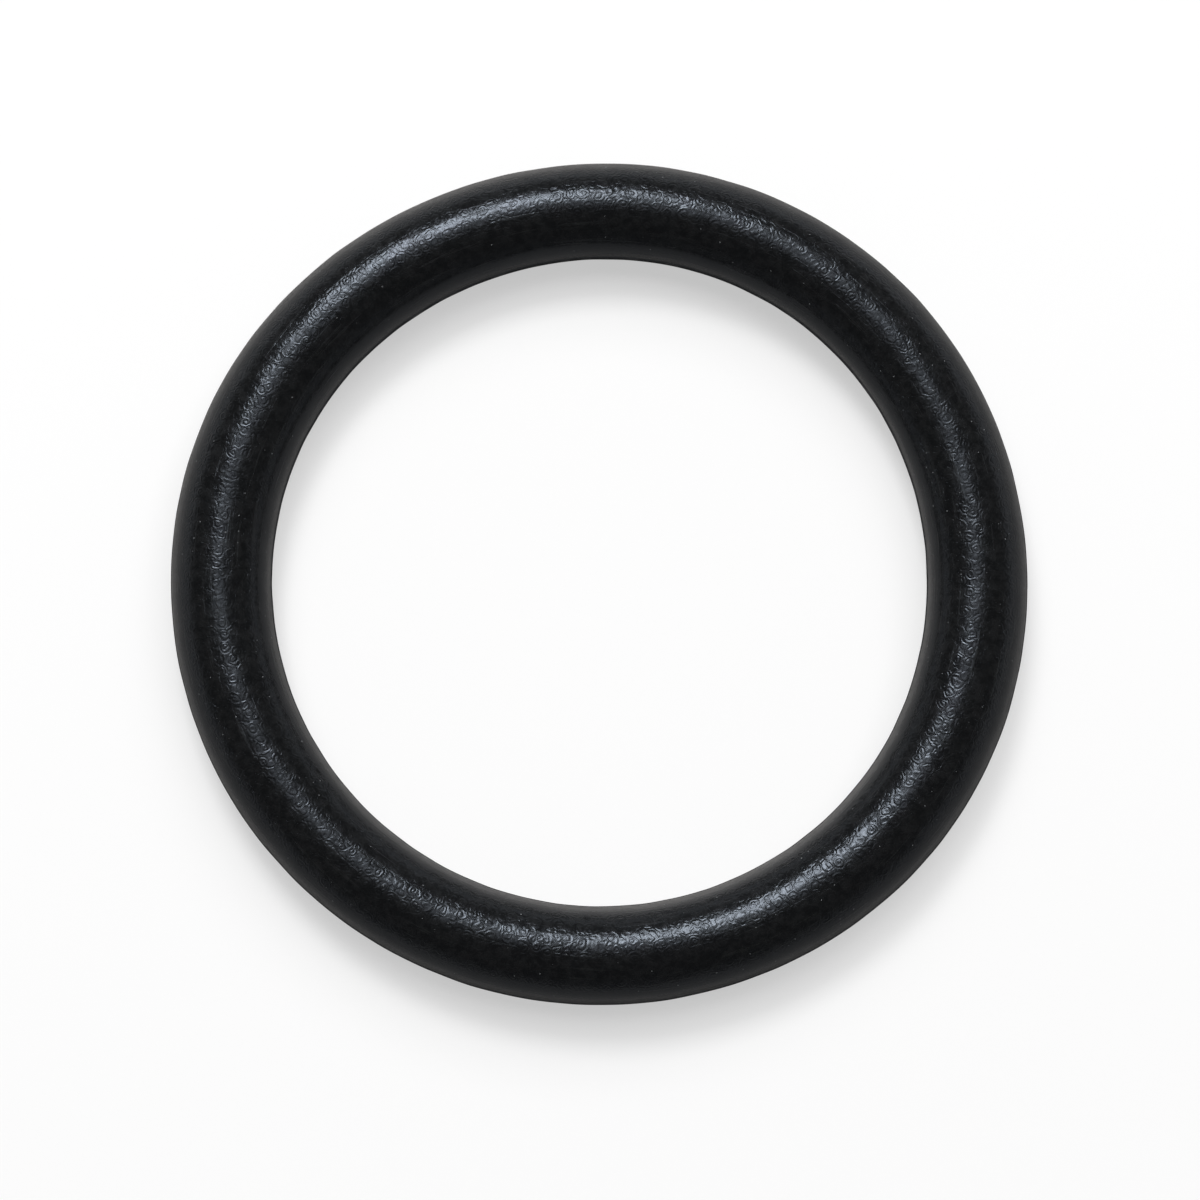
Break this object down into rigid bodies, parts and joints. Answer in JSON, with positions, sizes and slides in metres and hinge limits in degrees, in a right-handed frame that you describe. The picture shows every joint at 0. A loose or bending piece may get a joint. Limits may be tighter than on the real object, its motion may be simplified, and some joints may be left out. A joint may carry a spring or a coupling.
{
  "type": "o-ring seal",
  "caption": "Plain black rubber O-ring: a closed ring of round section that seals a joint when it is squeezed in a groove.",
  "frame": {"origin": "centre of the ring, in the plane that halves its section", "axes": "+Z along the ring's axis; the ring lies flat, on its lowest circle"},
  "size_m": [0.0306, 0.0306, 0.0036],
  "materials": {
    "black_rubber": "satin moulded nitrile rubber"
  },
  "bodies": {
    "root": {"o_ring": "black_rubber"}
  },
  "joints": []
}
